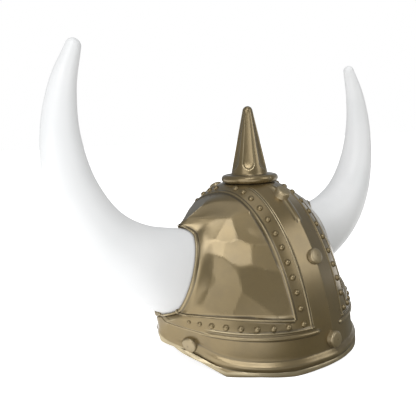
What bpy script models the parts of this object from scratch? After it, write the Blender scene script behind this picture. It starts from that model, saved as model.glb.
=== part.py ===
"""Horned viking helmet: moulded shell with brim, crown spike, two hollow horns, ten rivets.

Frame: +Z up, the front of the helmet faces -Y, one horn points to +X and the other to -X.
The origin is on the ground, under the middle of the rim. Units are metres.
The pieces are modelled with the spike on the Z axis, and hang on an empty that moves them
forward, because the back of the shell is longer than its front.
"""
import math

import bmesh
import bpy
from mathutils import Matrix, Vector
from mathutils.bvhtree import BVHTree

# --- shell: dome -------------------------------------------------------------------------
BEAD_HEIGHT = 0.035                          # the lower bead, above the ground
DOME_CENTRE_Z = BEAD_HEIGHT - 0.060          # centre of the dome's ellipsoid
DOME_HALF_WIDTH = 0.1068
DOME_HALF_LENGTH = 0.1088
DOME_HALF_HEIGHT = 0.1998
BACK_LENGTH = 0.0100                         # how much further the back reaches
BACK_BLEND = 0.0400                          # length over which the crown is stretched for it
BACK_TO_SIDE = (0.0400, 0.0950)              # from the bands to the horns, which stay in place
CREASE_RISE = 0.0017                         # the front-to-back crease over the ellipsoid
STRIP_HALF_WIDTH = 0.0225                    # smooth strip on both sides of the crease
BAND_HALF_WIDTH = 0.0387                     # outer edge of the studded bands
PANEL_STEP = 0.0013                          # width of the step from band to panel
PANEL_RECESS = 0.0014
STUD_BAND_WIDTH = 0.0146                     # level band above the lower bead
SEAT_Z = BEAD_HEIGHT + 0.1334                # flat crown that the spike's flange sits on
WALL = 0.0020

# --- shell: brim -------------------------------------------------------------------------
BRIM_HALF_WIDTH = 0.1008                     # wall of the brim just above its roll
BRIM_HALF_LENGTH = 0.1055
BRIM_CREASE = 0.0030                         # how far the crease stands out of it in front
SIDE_FLARE = 0.0082                          # how far it swells out under the horns
FLARE_FROM = math.radians(48)                # from this angle off the front
ROLL_Z = 0.0105                              # the roll over the tabs
ROLL_SIZE = 0.0040
RIM_FLARE = 0.0042
SIDE_TUCK = 0.0055                           # how far the edge draws in again under the horns
FRONT_NOTCH = 0.0036                         # how far the rim's edge rises at the front
SIDE_NOTCH = 0.0145                          # and below the horns
BACK_LIFT = 0.0135                           # extra rise of the edge behind the horns
LIFT_FROM = math.radians(40)                 # from this angle off the back to the side
FRONT_ROLL_RISE = 0.0022                     # how far the roll rises there
SIDE_ROLL_RISE = 0.0125
TAB_FROM = math.radians(26)                  # the rim stands on four tabs between
TAB_TO = math.radians(60)                    # these two angles from the front

# --- horns and their collars -------------------------------------------------------------
COLLAR_CENTRE = Vector((0.1007, 0.0, BEAD_HEIGHT + 0.0556))
COLLAR_TILT = math.radians(19.9)             # the horn leaves the shell rising by this angle
COLLAR_HALF_DEPTH = 0.0232                   # of the hole, front to back
COLLAR_HALF_HEIGHT = 0.0425
HOOD_REACH = 0.0112                          # how far the collar's top hangs over the horn
HOOD_ANGLE = math.radians(34)                # the part of the collar that it takes, each way
CHIN_REACH = 0.0085                          # the same for the lip under the horn
CHIN_ANGLE = math.radians(45)
LIP_WIDTH = 0.0040
LIP_INSIDE = 0.0045                          # of the hole; the horn's root cuts it away
LIP_FOOT = 0.0008                            # how far its foot lies behind the collar's plane
LIP_RISE = 0.0012
SIDE_BULGE = 0.030                           # of the panels, as a part of their width
TOP_BULGE = 0.060                            # the same over the horn
HORN_GAP = 0.0005
HORN_WALL = 0.0020
HORN_VENT = 0.0035                           # radius of the vent in its root, before the wall
HORN_LEAN = 0.0035                           # how far the tip leans back
# centreline and section from the root to the tip; depth is the section's front-to-back
# size as a part of its height
HORN_STATIONS = (
    # x,      z over bead, half height, depth
    (0.0916, 0.0526, 0.0438, 0.50),
    (0.1432, 0.0736, 0.0356, 0.80),
    (0.1781, 0.1032, 0.0282, 0.89),
    (0.1982, 0.1436, 0.0217, 0.91),
    (0.2043, 0.1874, 0.0161, 0.92),
    (0.1987, 0.2269, 0.0113, 0.96),
    (0.1863, 0.2599, 0.0064, 1.00),
)
HORN_RINGS = 14
HORN_SIDES = 20
HOLE_RINGS = 5                               # of those, in the cutter of the shell's hole

# --- spike -------------------------------------------------------------------------------
FLANGE_RADIUS = 0.0260                       # to the middle of its round edge
FLANGE_EDGE = 0.00425                        # radius of the round edge
FLANGE_Z = BEAD_HEIGHT + 0.1380
CONE_RADIUS = 0.0190
CONE_TIP_RADIUS = 0.0045
SPIKE_TOP = BEAD_HEIGHT + 0.2137
SPIGOT_RADIUS = 0.0060
SPIGOT_LENGTH = 0.0080
SPIKE_STEPS = 24
FIT_GAP = 0.0003

# --- rivets ------------------------------------------------------------------------------
RIVET_RADIUS = 0.0080
RIVET_HEIGHT = 0.0050
RIVET_EDGE = 0.0019
RIVET_SHANK = 0.0025
RIVET_SEAT = 0.0006                          # height of its flat seat over the wall
BOSS_RADIUS = 0.0077
BOSS_DEPTH = 0.0016
BOSS_SPARE = 0.0002                          # the seat is cut flat out of this
HEAD_ROOM = RIVET_RADIUS + 0.0005
CUTTER_REACH = 0.0100
RIVET_SIDES = 14
CUTTER_SIDES = 12
CREASE_RIVETS = (
    # name, height over the lower bead
    ("upper", 0.1245),
    ("middle", 0.0690),
    ("brim", -0.0070),
)
SIDE_RIVET_AZIMUTH = math.radians(78)        # from the front, and its mirror images
SIDE_RIVET_Z = (BEAD_HEIGHT - 0.0055, BEAD_HEIGHT - 0.0025)      # in front, behind


def ease(value):
    """Smooth step from 0 to 1."""
    value = min(max(value, 0.0), 1.0)
    return value * value * (3.0 - 2.0 * value)


def mix(start, end, part):
    return start + (end - start) * part


# --- the shell's surface: a quarter with x >= 0 and y <= 0, mirrored twice ----------------

def dome_point(x, rise, theta, extra=0.0):
    """Point of the ellipsoid in the plane x, at an angle up from its centre."""
    shrink = math.sqrt(1.0 - (x / DOME_HALF_WIDTH) ** 2)
    y = -(DOME_HALF_LENGTH + rise) * shrink * math.cos(theta)
    z = DOME_CENTRE_Z + (DOME_HALF_HEIGHT + extra) * shrink * math.sin(theta)
    return Vector((x, y, z))


def start_angle(x, height):
    """Angle at which the plane x of the ellipsoid passes a height."""
    shrink = math.sqrt(1.0 - (x / DOME_HALF_WIDTH) ** 2)
    return math.asin((height - DOME_CENTRE_Z) / (DOME_HALF_HEIGHT * shrink))


def wall_point(x, height_from, part):
    """Point in the plane x, part of the way from a height at the front to the crown."""
    if x < STRIP_HALF_WIDTH:
        crease = profile_point(0.0, CREASE_RISE, height_from, part)
        edge = profile_point(STRIP_HALF_WIDTH, 0.0, height_from, part)
        return crease.lerp(edge, x / STRIP_HALF_WIDTH)
    return profile_point(x, 0.0, height_from, part)


def profile_point(x, rise, height_from, part):
    low = start_angle(x, height_from)
    return dome_point(x, rise, mix(low, math.pi / 2, part), rise)


AXIS_OUT = Vector((math.cos(COLLAR_TILT), 0.0, math.sin(COLLAR_TILT)))
COLLAR_UP = Vector((-math.sin(COLLAR_TILT), 0.0, math.cos(COLLAR_TILT)))
COLLAR_FRONT = Vector((0.0, -1.0, 0.0))


def collar_point(psi, wider=0.0, rise=0.0):
    """Point round the horn's hole: psi is 0 below, 90 degrees at the front, 180 above."""
    hood = ease((psi - math.pi + HOOD_ANGLE) / HOOD_ANGLE)
    chin = ease((CHIN_ANGLE - psi) / CHIN_ANGLE)
    wider *= 1.0 - 0.6 * (hood + chin)
    rise += HOOD_REACH * hood + CHIN_REACH * chin
    return (COLLAR_CENTRE + COLLAR_FRONT * ((COLLAR_HALF_DEPTH + wider) * math.sin(psi))
            - COLLAR_UP * ((COLLAR_HALF_HEIGHT + wider) * math.cos(psi))
            + AXIS_OUT * rise)


def dome_normal(point):
    return Vector((point.x / DOME_HALF_WIDTH ** 2, point.y / DOME_HALF_LENGTH ** 2,
                   (point.z - DOME_CENTRE_Z) / DOME_HALF_HEIGHT ** 2)).normalized()


def turn_at(point):
    """Angle round the dome's ellipse, from the front."""
    return math.atan2(point.x / DOME_HALF_WIDTH, -point.y / DOME_HALF_LENGTH)


def round_point(turn, height):
    """Point of the ellipsoid at an angle from the front and a height."""
    shrink = math.sqrt(1.0 - ((height - DOME_CENTRE_Z) / DOME_HALF_HEIGHT) ** 2)
    return Vector((DOME_HALF_WIDTH * shrink * math.sin(turn),
                   -DOME_HALF_LENGTH * shrink * math.cos(turn), height))


def side_point(start, psi, part):
    """Point of the side between the band's edge and the foot of the collar's lip.

    Low down the side follows the dome and turns out to the foot at its end. Higher up it
    is a bulging panel that goes straight to the foot.
    """
    foot = collar_point(psi, LIP_WIDTH, -LIP_FOOT)
    first = round_point(turn_at(start), start.z)
    last = round_point(turn_at(foot), foot.z)
    low = round_point(mix(turn_at(start), turn_at(foot), part), mix(start.z, foot.z, part))
    low += (start - first) * (1.0 - part) + (foot - last) * part ** 3
    chord = foot - start
    out = dome_normal(start)
    out = (out - chord * (out.dot(chord) / chord.length_squared)).normalized()
    bulge = mix(SIDE_BULGE, TOP_BULGE, ease(2.0 * psi / math.pi - 1.0))
    bulge *= chord.length * 4.0 * part * (1.0 - part)
    return low.lerp(start.lerp(foot, part) + out * bulge, ease(psi / PANEL_PSI))


def rim_height(phi):
    """Height of the rim's edge: zero on the tabs, higher at the front and under the horns."""
    if phi < TAB_FROM:
        return FRONT_NOTCH * (1.0 - phi / TAB_FROM)
    if phi > TAB_TO:
        return SIDE_NOTCH * math.sqrt((phi - TAB_TO) / (math.pi / 2 - TAB_TO))
    return 0.0


def roll_height(phi):
    """Height of the roll's middle at an angle from the front."""
    front = 1.0 - ease(phi / TAB_FROM)
    side = ease((phi - TAB_TO) / (math.pi / 2 - TAB_TO))
    return ROLL_Z + FRONT_ROLL_RISE * front + SIDE_ROLL_RISE * side


def brim_point(phi, height, wider):
    """Point of the brim's ellipse at an angle from the front."""
    flare = SIDE_FLARE * ease((phi - FLARE_FROM) / (math.pi / 2 - FLARE_FROM))
    x = (BRIM_HALF_WIDTH + wider + flare) * math.sin(phi)
    y = -(BRIM_HALF_LENGTH + wider) * math.cos(phi)
    crease = BRIM_CREASE * max(1.0 - x / STRIP_HALF_WIDTH, 0.0)
    return Vector((x, y - crease, height))


STRIP_COLUMNS = (0.0, 0.5, 1.0)
BAND_COLUMNS = (0.5, 1.0)
SIDE_COLUMNS = (0.0, 0.12, 0.26, 0.41, 0.56, 0.70, 0.82, 0.92, 1.0)
LIP_COLUMNS = (
    # wider than the hole, rise over the collar's plane
    (LIP_WIDTH * 0.75, LIP_RISE * 0.7),
    (LIP_WIDTH * 0.4, LIP_RISE),
    (-LIP_INSIDE, LIP_RISE),
)
BAND_PSI = (0.0, 0.14, 0.28)                 # rows of the level band at the collar, radians
PANEL_PSI = math.radians(100)                # from here up the side is all bulging panel
PANEL_ROWS = (0.09, 0.19, 0.30, 0.41, 0.52, 0.63, 0.74, 0.84, 0.93, 1.0)
BRIM_ROWS = (
    # part of the way from the edge to the roll, then up by, wider than the brim's wall
    (0.0, 0.0, RIM_FLARE),
    (0.4, 0.0, RIM_FLARE),
    (0.74, 0.0, RIM_FLARE * 0.55),
    (1.0, 0.0, ROLL_SIZE),
    (1.0, 0.0025, ROLL_SIZE * 0.55),
    (1.0, 0.0042, 0.0),
)
BRIM_RISE = (0.3, 0.65)                      # rows between the roll and the lower bead


def twin_behind(point):
    """The point's twin at the back, which reaches further, with a higher rim by the horns."""
    low, high = BACK_TO_SIDE
    share = ease(-point.y / BACK_BLEND) * (1.0 - ease((point.x - low) / (high - low)))
    phi = math.atan2(point.x, -point.y)
    lift = max(math.sin(math.pi * (phi - LIFT_FROM) / (math.pi / 2 - LIFT_FROM)), 0.0)
    lift *= BACK_LIFT * max(1.0 - point.z / BEAD_HEIGHT, 0.0) if phi > LIFT_FROM else 0.0
    return Vector((point.x, -point.y + BACK_LENGTH * share, point.z + lift))


def upper_row(height_from, part, psi):
    """One row from the front centre, over the strip, band and side, to the horn's hole."""
    row = [wall_point(STRIP_HALF_WIDTH * s, height_from, part) for s in STRIP_COLUMNS]
    for s in BAND_COLUMNS:
        row.append(wall_point(mix(STRIP_HALF_WIDTH, BAND_HALF_WIDTH, s), height_from, part))
    foot = profile_point(BAND_HALF_WIDTH + PANEL_STEP, -PANEL_RECESS, height_from, part)
    row += [side_point(foot, psi, s) for s in SIDE_COLUMNS]
    row += [collar_point(psi, wider, rise) for wider, rise in LIP_COLUMNS]
    return row


def shell_rows():
    """Rows of the quarter, from the rim's edge to the crown."""
    upper = []
    for index, psi in enumerate(BAND_PSI):
        height = BEAD_HEIGHT + STUD_BAND_WIDTH * index / (len(BAND_PSI) - 1)
        upper.append(upper_row(height, 0.0, psi))
    for part in PANEL_ROWS:
        psi = mix(BAND_PSI[-1], math.pi, part)
        upper.append(upper_row(BEAD_HEIGHT + STUD_BAND_WIDTH, part, psi))
    bead = upper[0][:-len(LIP_COLUMNS)]       # the lip stands on the bead's last point
    lower = []
    for part, up, wider in BRIM_ROWS:
        row = []
        for point in bead:
            phi = math.atan2(point.x, -point.y)
            height = mix(rim_height(phi), roll_height(phi), part) + up
            tuck = SIDE_TUCK * (1.0 - part) * ease((phi - TAB_TO) / (math.pi / 2 - TAB_TO))
            row.append(brim_point(phi, height, wider - tuck))
        lower.append(row)
    wall = lower[-1]
    for part in BRIM_RISE:
        lower.append([low.lerp(high, part) for low, high in zip(wall, bead)])
    rows = lower + upper
    for row in rows:
        for point in row:
            point.z = min(point.z, SEAT_Z)
    return rows


def add_grid(mesh, rows, closed_round=False, flip=False):
    """Quads between rows of points; a short row meets the start of a longer one."""
    grid = [[mesh.verts.new(point) for point in row] for row in rows]
    count = len(rows[-1])
    for low, high in zip(grid, grid[1:]):
        columns = count if closed_round else min(len(low), len(high)) - 1
        for i in range(columns):
            j = (i + 1) % count
            corners = [low[i], low[j], high[j], high[i]]
            mesh.faces.new(reversed(corners) if flip else corners)
    return grid


def finished(mesh, name):
    data = bpy.data.meshes.new(name)
    mesh.to_mesh(data)
    mesh.free()
    return bpy.data.objects.new(name, data)


# --- horns --------------------------------------------------------------------------------

def horn_centre(part):
    """Centre, half height and depth of a section, by a smooth curve through the stations."""
    place = part * (len(HORN_STATIONS) - 1)
    index = min(int(place), len(HORN_STATIONS) - 2)
    first = [2 * a - b for a, b in zip(HORN_STATIONS[0], HORN_STATIONS[1])]
    last = [2 * a - b for a, b in zip(HORN_STATIONS[-1], HORN_STATIONS[-2])]
    near = [first, *HORN_STATIONS, last][index:index + 4]
    t = place - index
    weights = (-0.5 * t ** 3 + t ** 2 - 0.5 * t, 1.5 * t ** 3 - 2.5 * t ** 2 + 1,
               -1.5 * t ** 3 + 2 * t ** 2 + 0.5 * t, 0.5 * t ** 3 - 0.5 * t ** 2)
    x, z, half, depth = (sum(w * row[k] for w, row in zip(weights, near)) for k in range(4))
    return Vector((x, HORN_LEAN * part ** 2, z + BEAD_HEIGHT)), half, depth


def horn_section(part, grow=0.0):
    """Points round the horn at a part of its length."""
    centre, half, depth = horn_centre(part)
    step = 0.01
    ahead = horn_centre(min(part + step, 1.0))[0] - horn_centre(max(part - step, 0.0))[0]
    up = Vector((0.0, -1.0, 0.0)).cross(ahead.normalized())
    points = []
    for i in range(HORN_SIDES):
        angle = -2 * math.pi * i / HORN_SIDES
        points.append(centre + up * ((half + grow) * math.cos(angle))
                      + Vector((0.0, (half * depth + grow) * math.sin(angle), 0.0)))
    return points


def horn_rows():
    """The vent in the root's end wall, sections to the tip, and the last point of the tip."""
    rows = [horn_section(i / HORN_RINGS) for i in range(HORN_RINGS + 1)]
    root = horn_centre(0.0)[0]
    vent = [root + (point - root).normalized() * HORN_VENT for point in rows[0]]
    end, half, _ = horn_centre(1.0)
    ahead = (end - horn_centre(0.99)[0]).normalized()
    cap = []
    for angle in (30, 60):
        turn = math.radians(angle)
        cap.append([end + ahead * (half * math.sin(turn)) + (point - end) * math.cos(turn)
                    for point in rows[-1]])
    return [vent] + rows + cap, end + ahead * half


def across(point):
    """The point's twin on the other side."""
    return Vector((-point.x, point.y, point.z))


# --- materials and collections ---------------------------------------------------------------

def material(name, colour, roughness, metallic):
    paint = bpy.data.materials.new(name)
    paint.use_nodes = True
    shader = paint.node_tree.nodes["Principled BSDF"]
    shader.inputs["Base Color"].default_value = (*colour, 1.0)
    shader.inputs["Roughness"].default_value = roughness
    shader.inputs["Metallic"].default_value = metallic
    return paint


def place(obj, group, paint=None):
    """Put an object in a collection, on that collection's empty."""
    collection, stand = group
    collection.objects.link(obj)
    obj.parent = stand
    if paint is not None:
        obj.data.materials.append(paint)
        obj.data.shade_smooth()
        obj.data.set_sharp_from_angle(angle=math.radians(35))
    return obj


def hide_cutter(obj):
    obj.hide_render = True
    obj.display_type = "WIRE"
    return obj


def thicken(obj, wall):
    solid = obj.modifiers.new("wall", "SOLIDIFY")
    solid.thickness = wall
    solid.offset = -1.0


def mirror(obj):
    both = obj.modifiers.new("mirror", "MIRROR")
    both.use_axis = (True, False, False)
    both.merge_threshold = 0.00001


def boolean(obj, operation, cutter):
    cut = obj.modifiers.new(cutter.name, "BOOLEAN")
    cut.operation = operation
    cut.object = cutter
    cut.solver = "EXACT"


def turned(name, profile, steps):
    """A turned solid from a profile of radius and height, top to bottom."""
    mesh = bmesh.new()
    points = [mesh.verts.new((radius, 0.0, height)) for radius, height in profile]
    for upper, lower in zip(points, points[1:]):
        mesh.edges.new((upper, lower))
    obj = finished(mesh, name)
    screw = obj.modifiers.new("turn", "SCREW")
    screw.steps = steps
    screw.render_steps = steps
    screw.use_merge_vertices = True
    screw.merge_threshold = 0.00001
    return obj


# --- the pieces ------------------------------------------------------------------------------

def build_horns(group, paint):
    rows, tip = horn_rows()
    for name, side, flip in (("horn_right", Vector, False), ("horn_left", across, True)):
        mesh = bmesh.new()
        grid = add_grid(mesh, [[side(p) for p in row] for row in rows], closed_round=True, flip=flip)
        top = mesh.verts.new(side(tip))
        for near, far in zip(grid[-1], grid[-1][1:] + grid[-1][:1]):
            mesh.faces.new((far, near, top) if flip else (near, far, top))
        thicken(place(finished(mesh, name), group, paint), HORN_WALL)


def build_spike(group, paint):
    """Cone, round-edged flange and spigot, turned in one."""
    cone_foot = FLANGE_Z + FLANGE_EDGE * 0.9
    profile = [(0.0, SPIKE_TOP)]
    centre = SPIKE_TOP - CONE_TIP_RADIUS
    for angle in (60, 30, 8):
        turn = math.radians(angle)
        profile.append((CONE_TIP_RADIUS * math.cos(turn), centre + CONE_TIP_RADIUS * math.sin(turn)))
    profile += [(CONE_RADIUS * 0.94, cone_foot + 0.006), (CONE_RADIUS, cone_foot)]
    for angle in range(75, -91, -33):
        turn = math.radians(angle)
        profile.append((FLANGE_RADIUS + FLANGE_EDGE * math.cos(turn),
                        FLANGE_Z + FLANGE_EDGE * math.sin(turn)))
    under = SEAT_Z + FIT_GAP
    profile += [(SPIGOT_RADIUS, under), (SPIGOT_RADIUS, under - SPIGOT_LENGTH),
                (0.0, under - SPIGOT_LENGTH)]
    place(turned("crown_spike", profile, SPIKE_STEPS), group, paint)


def crease_seat(rows, height):
    """Point and outward direction on the front crease at a height."""
    line = [row[0] for row in rows]
    for low, high in zip(line, line[1:]):
        if low.z <= height < high.z:
            along = (high - low).normalized()
            point = low.lerp(high, (height - low.z) / (high.z - low.z))
            return point, along.cross(Vector((-1.0, 0.0, 0.0))).normalized()
    raise ValueError("no crease at this height")


def side_seat(rows, azimuth, height):
    """Point and outward direction on the brim, seen from outside at an azimuth."""
    points, faces = [], []
    lower = [row for row in rows if row[0].z <= BEAD_HEIGHT + 0.001]
    count = len(rows[0])
    for row in lower:
        points += row[:count]
    for r in range(len(lower) - 1):
        for c in range(count - 1):
            corner = r * count + c
            faces.append((corner, corner + 1, corner + 1 + count, corner + count))
    tree = BVHTree.FromPolygons(points, faces)
    outward = Vector((math.sin(azimuth), -math.cos(azimuth), 0.0))
    start = outward * 0.3 + Vector((0.0, 0.0, height))
    point, normal, _, _ = tree.ray_cast(start, -outward)
    return point, normal if normal.dot(outward) > 0 else -normal


def rivet_seats(rows):
    """Name, point and outward direction of each rivet."""
    seats = []
    for name, height in CREASE_RIVETS:
        point, out = crease_seat(rows, BEAD_HEIGHT + height)
        seats.append((f"rivet_front_{name}", point, out))
        seats.append((f"rivet_back_{name}", twin_behind(point), out * Vector((1.0, -1.0, 1.0))))
    behind = [[twin_behind(point) for point in row] for row in rows]
    places = (("front", rows, SIDE_RIVET_AZIMUTH), ("back", behind, math.pi - SIDE_RIVET_AZIMUTH))
    for (end, quarter, azimuth), height in zip(places, SIDE_RIVET_Z):
        point, out = side_seat(quarter, azimuth, height)
        seats.append((f"rivet_right_{end}", point, out))
        seats.append((f"rivet_left_{end}", across(point), across(out)))
    return seats


def aim(point, out):
    """Matrix that takes +Z to the outward direction at a point."""
    return Matrix.Translation(point) @ out.to_track_quat("Z", "Y").to_matrix().to_4x4()


def build_rivets(group, paint, seats):
    bottom = RIVET_SEAT + FIT_GAP
    top = RIVET_SEAT + RIVET_HEIGHT
    profile = [
        (0.0, top),
        (RIVET_RADIUS - RIVET_EDGE, top),
        (RIVET_RADIUS - RIVET_EDGE * 0.3, top - RIVET_EDGE * 0.3),
        (RIVET_RADIUS, top - RIVET_EDGE),
        (RIVET_RADIUS, bottom),
        (RIVET_SHANK, bottom),
        (RIVET_SHANK, -WALL - BOSS_DEPTH),
        (0.0, -WALL - BOSS_DEPTH),
    ]
    for name, point, out in seats:
        rivet = place(turned(name, profile, RIVET_SIDES), group, paint)
        rivet.matrix_basis = aim(point, out)


def cylinders(name, places, radius, low, high):
    """One cutter or boss for each place, in one object."""
    mesh = bmesh.new()
    for point, out in places:
        shift = Matrix.Translation((0.0, 0.0, (low + high) / 2))
        bmesh.ops.create_cone(mesh, cap_ends=True, segments=CUTTER_SIDES, radius1=radius,
                              radius2=radius, depth=high - low, matrix=aim(point, out) @ shift)
    return finished(mesh, name)


def horn_holes():
    """The horns' roots, a little thicker, to cut the shell's two holes."""
    rows = [horn_section(i / HORN_RINGS, HORN_GAP) for i in range(HOLE_RINGS + 1)]
    mesh = bmesh.new()
    for side, flip in ((Vector, False), (across, True)):
        add_grid(mesh, [[side(p) for p in row] for row in rows], closed_round=True, flip=flip)
    bmesh.ops.holes_fill(mesh, edges=[e for e in mesh.edges if e.is_boundary])
    bmesh.ops.recalc_face_normals(mesh, faces=mesh.faces)
    return finished(mesh, "horn_holes")


def build_shell(group, guides, paint, rows, seats):
    mesh = bmesh.new()
    add_grid(mesh, rows)
    add_grid(mesh, [[twin_behind(point) for point in row] for row in rows], flip=True)
    bmesh.ops.remove_doubles(mesh, verts=mesh.verts, dist=0.00001)
    shell = finished(mesh, "helmet_shell")
    mirror(shell)
    thicken(shell, WALL)
    places = [(point, out) for _, point, out in seats]
    crown = (Vector((0.0, 0.0, SEAT_Z)), Vector((0.0, 0.0, 1.0)))
    steps = (
        ("DIFFERENCE", horn_holes()),
        ("UNION", cylinders("rivet_bosses", places, BOSS_RADIUS, -BOSS_DEPTH,
                            RIVET_SEAT + BOSS_SPARE)),
        ("DIFFERENCE", cylinders("head_room", places, HEAD_ROOM, RIVET_SEAT, CUTTER_REACH)),
        ("DIFFERENCE", cylinders("shank_holes", places, RIVET_SHANK + FIT_GAP, -CUTTER_REACH,
                                 CUTTER_REACH / 2)),
        ("DIFFERENCE", cylinders("spigot_hole", [crown], SPIGOT_RADIUS + FIT_GAP, -CUTTER_REACH,
                                 CUTTER_REACH)),
    )
    for operation, cutter in steps:
        place(hide_cutter(cutter), guides)
        boolean(shell, operation, cutter)
    place(shell, group, paint)


def main():
    for obj in list(bpy.data.objects):
        bpy.data.objects.remove(obj)
    stand = bpy.data.objects.new("stand", None)
    stand.location.y = -BACK_LENGTH / 2
    groups = []
    for name in ("viking_helmet", "cutters"):
        collection = bpy.data.collections.new(name)
        bpy.context.scene.collection.children.link(collection)
        groups.append((collection, stand))
    helmet, guides = groups
    helmet[0].objects.link(stand)
    bronze = material("bronze_plastic", (0.30, 0.24, 0.14), 0.38, 0.7)
    white = material("white_plastic", (0.86, 0.87, 0.88), 0.45, 0.0)
    rows = shell_rows()
    seats = rivet_seats(rows)
    build_shell(helmet, guides, bronze, rows, seats)
    build_spike(helmet, bronze)
    build_rivets(helmet, bronze, seats)
    build_horns(helmet, white)


main()
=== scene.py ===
# %% [markdown]
# # A horned costume helmet
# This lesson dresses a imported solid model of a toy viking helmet. The real one is moulded in
# thin plastic: a bronze shell with studded bands, hammered panels and a rolled brim, a fluted
# spike on top, round rivets, and two smooth white horns. The solid model is the fixed frame.
# It gives every place and size, and each new piece stands for one of its parts.

# %% Load the frame
import math

import bmesh
import bpy
import numpy as np
from mathutils import Matrix, Vector
from mathutils.bvhtree import BVHTree


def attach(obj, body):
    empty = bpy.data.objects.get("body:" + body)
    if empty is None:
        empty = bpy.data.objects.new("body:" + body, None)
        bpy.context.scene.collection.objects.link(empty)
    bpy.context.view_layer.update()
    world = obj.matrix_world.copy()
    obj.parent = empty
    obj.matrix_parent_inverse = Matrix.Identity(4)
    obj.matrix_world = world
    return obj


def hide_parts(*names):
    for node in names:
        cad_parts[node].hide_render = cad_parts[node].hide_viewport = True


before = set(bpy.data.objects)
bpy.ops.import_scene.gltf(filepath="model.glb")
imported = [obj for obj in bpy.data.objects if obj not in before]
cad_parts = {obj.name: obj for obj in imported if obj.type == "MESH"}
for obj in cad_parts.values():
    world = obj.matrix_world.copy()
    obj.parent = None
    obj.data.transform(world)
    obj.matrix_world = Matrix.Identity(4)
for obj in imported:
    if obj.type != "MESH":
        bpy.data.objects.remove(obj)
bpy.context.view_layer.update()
MM = 0.001

# %% [markdown]
# ## Camera
# The helmet is looked at from a little above its brim and from the left of its front, with the
# camera leaning by a few degrees. A camera looks along its own -Z, so its axes are worked out
# from the azimuth, the elevation and the lean, and written into its matrix.

# %% Camera
AZIMUTH, ELEVATION, LEAN = (math.radians(angle) for angle in (-38.57, 8.54, -2.65))
CAMERA_PLACE = Vector((-346.4, -365.1, 216.9)) * MM


def direction(azimuth, elevation):
    """Unit vector towards an azimuth, counted from -Y towards +X, and an elevation."""
    flat = math.cos(elevation)
    return Vector((math.sin(azimuth) * flat, -math.cos(azimuth) * flat, math.sin(elevation)))


back = direction(AZIMUTH, ELEVATION)
level = Vector((math.cos(AZIMUTH), math.sin(AZIMUTH), 0.0))
upright = back.cross(level)
rightward = level * math.cos(LEAN) + upright * math.sin(LEAN)
upward = upright * math.cos(LEAN) - level * math.sin(LEAN)
bpy.ops.object.camera_add()
camera = bpy.context.object
camera.data.lens = 40.0
camera.data.clip_start = 10 * MM
camera.matrix_world = Matrix.Translation(CAMERA_PLACE) @ Matrix(
    (rightward, upward, back)).transposed().to_4x4()
bpy.context.scene.camera = camera
print("camera at", [round(c / MM) for c in CAMERA_PLACE], "mm")

# %% [markdown]
# ## Shader maths
# A finish is a small network of nodes. To keep it readable, a socket is wrapped in a class
# whose operators add Math nodes, so that `1 - mask` is written as it is thought. Every other
# node comes from one method that takes its type, its settings and what goes into its sockets.

# %% A socket with operators
class Value:
    """One output socket. Arithmetic on it adds Math nodes."""

    def __init__(self, paint, socket):
        self.paint = paint
        self.socket = socket

    def math(self, operation, first, second):
        return self.paint.node("ShaderNodeMath", {"operation": operation}, {0: first, 1: second})

    def __add__(self, other):
        return self.math("ADD", self, other)

    def __sub__(self, other):
        return self.math("SUBTRACT", self, other)

    def __rsub__(self, other):
        return self.math("SUBTRACT", other, self)

    def __mul__(self, other):
        return self.math("MULTIPLY", self, other)

    def clamped(self):
        return self.paint.node("ShaderNodeClamp", {}, {0: self})

    __radd__ = __add__
    __rmul__ = __mul__

# %% A material to build in
class Paint:
    """A material whose Principled shader is fed by nodes."""

    def __init__(self, name, **constants):
        self.material = bpy.data.materials.new(name)
        self.material.use_nodes = True
        self.tree = self.material.node_tree
        self.shader = self.tree.nodes["Principled BSDF"]
        for socket, value in constants.items():
            self.shader.inputs[socket.replace("_", " ")].default_value = value
        self.place = self.node("ShaderNodeTexCoord", {}, {}, "Object")

    def node(self, kind, settings, inputs, output=0):
        """Any node: its type, its settings, its sockets' values or links, and one output."""
        made = self.tree.nodes.new(kind)
        for key, value in settings.items():
            setattr(made, key, value)
        for key, value in inputs.items():
            if isinstance(value, Value):
                self.tree.links.new(value.socket, made.inputs[key])
            else:
                made.inputs[key].default_value = value
        return Value(self, made.outputs[output])

    def noise(self, scale, detail):
        """Noise around 0.5 with features of 1 / scale metres."""
        return self.node("ShaderNodeTexNoise", {},
                         {"Vector": self.place, "Scale": scale, "Detail": detail})

    def band(self, value, low, high):
        """0 below low, 1 above high, smooth between."""
        return self.node("ShaderNodeMapRange", {"interpolation_type": "SMOOTHSTEP"},
                         {"Value": value, "From Min": low, "From Max": high})

    def mix(self, factor, first, second):
        """Mix of two colours."""
        as_colour = [(*c, 1.0) if isinstance(c, tuple) else c for c in (first, second)]
        return self.node("ShaderNodeMix", {"data_type": "RGBA"},
                         {0: factor, 6: as_colour[0], 7: as_colour[1]}, 2)

    def feed(self, **sockets):
        """Link values that change over the surface to the shader."""
        for name, value in sockets.items():
            self.tree.links.new(value.socket, self.shader.inputs[name.replace("_", " ")])

    def bump(self, height, distance, strength):
        """Fine relief that is too small for the mesh, distance metres high."""
        normal = self.node("ShaderNodeBump", {},
                           {"Height": height, "Distance": distance, "Strength": strength})
        self.feed(Normal=normal)

# %% [markdown]
# ## Floor, room and lights
# The helmet stands on a plain pale floor in a bright room. A satin metal paint shows what is
# around it. So both are pale to the eye, but in reflections the room is dim, and the floor is
# grey before the helmet and far behind it. Soft boxes give the long highlights.

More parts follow.
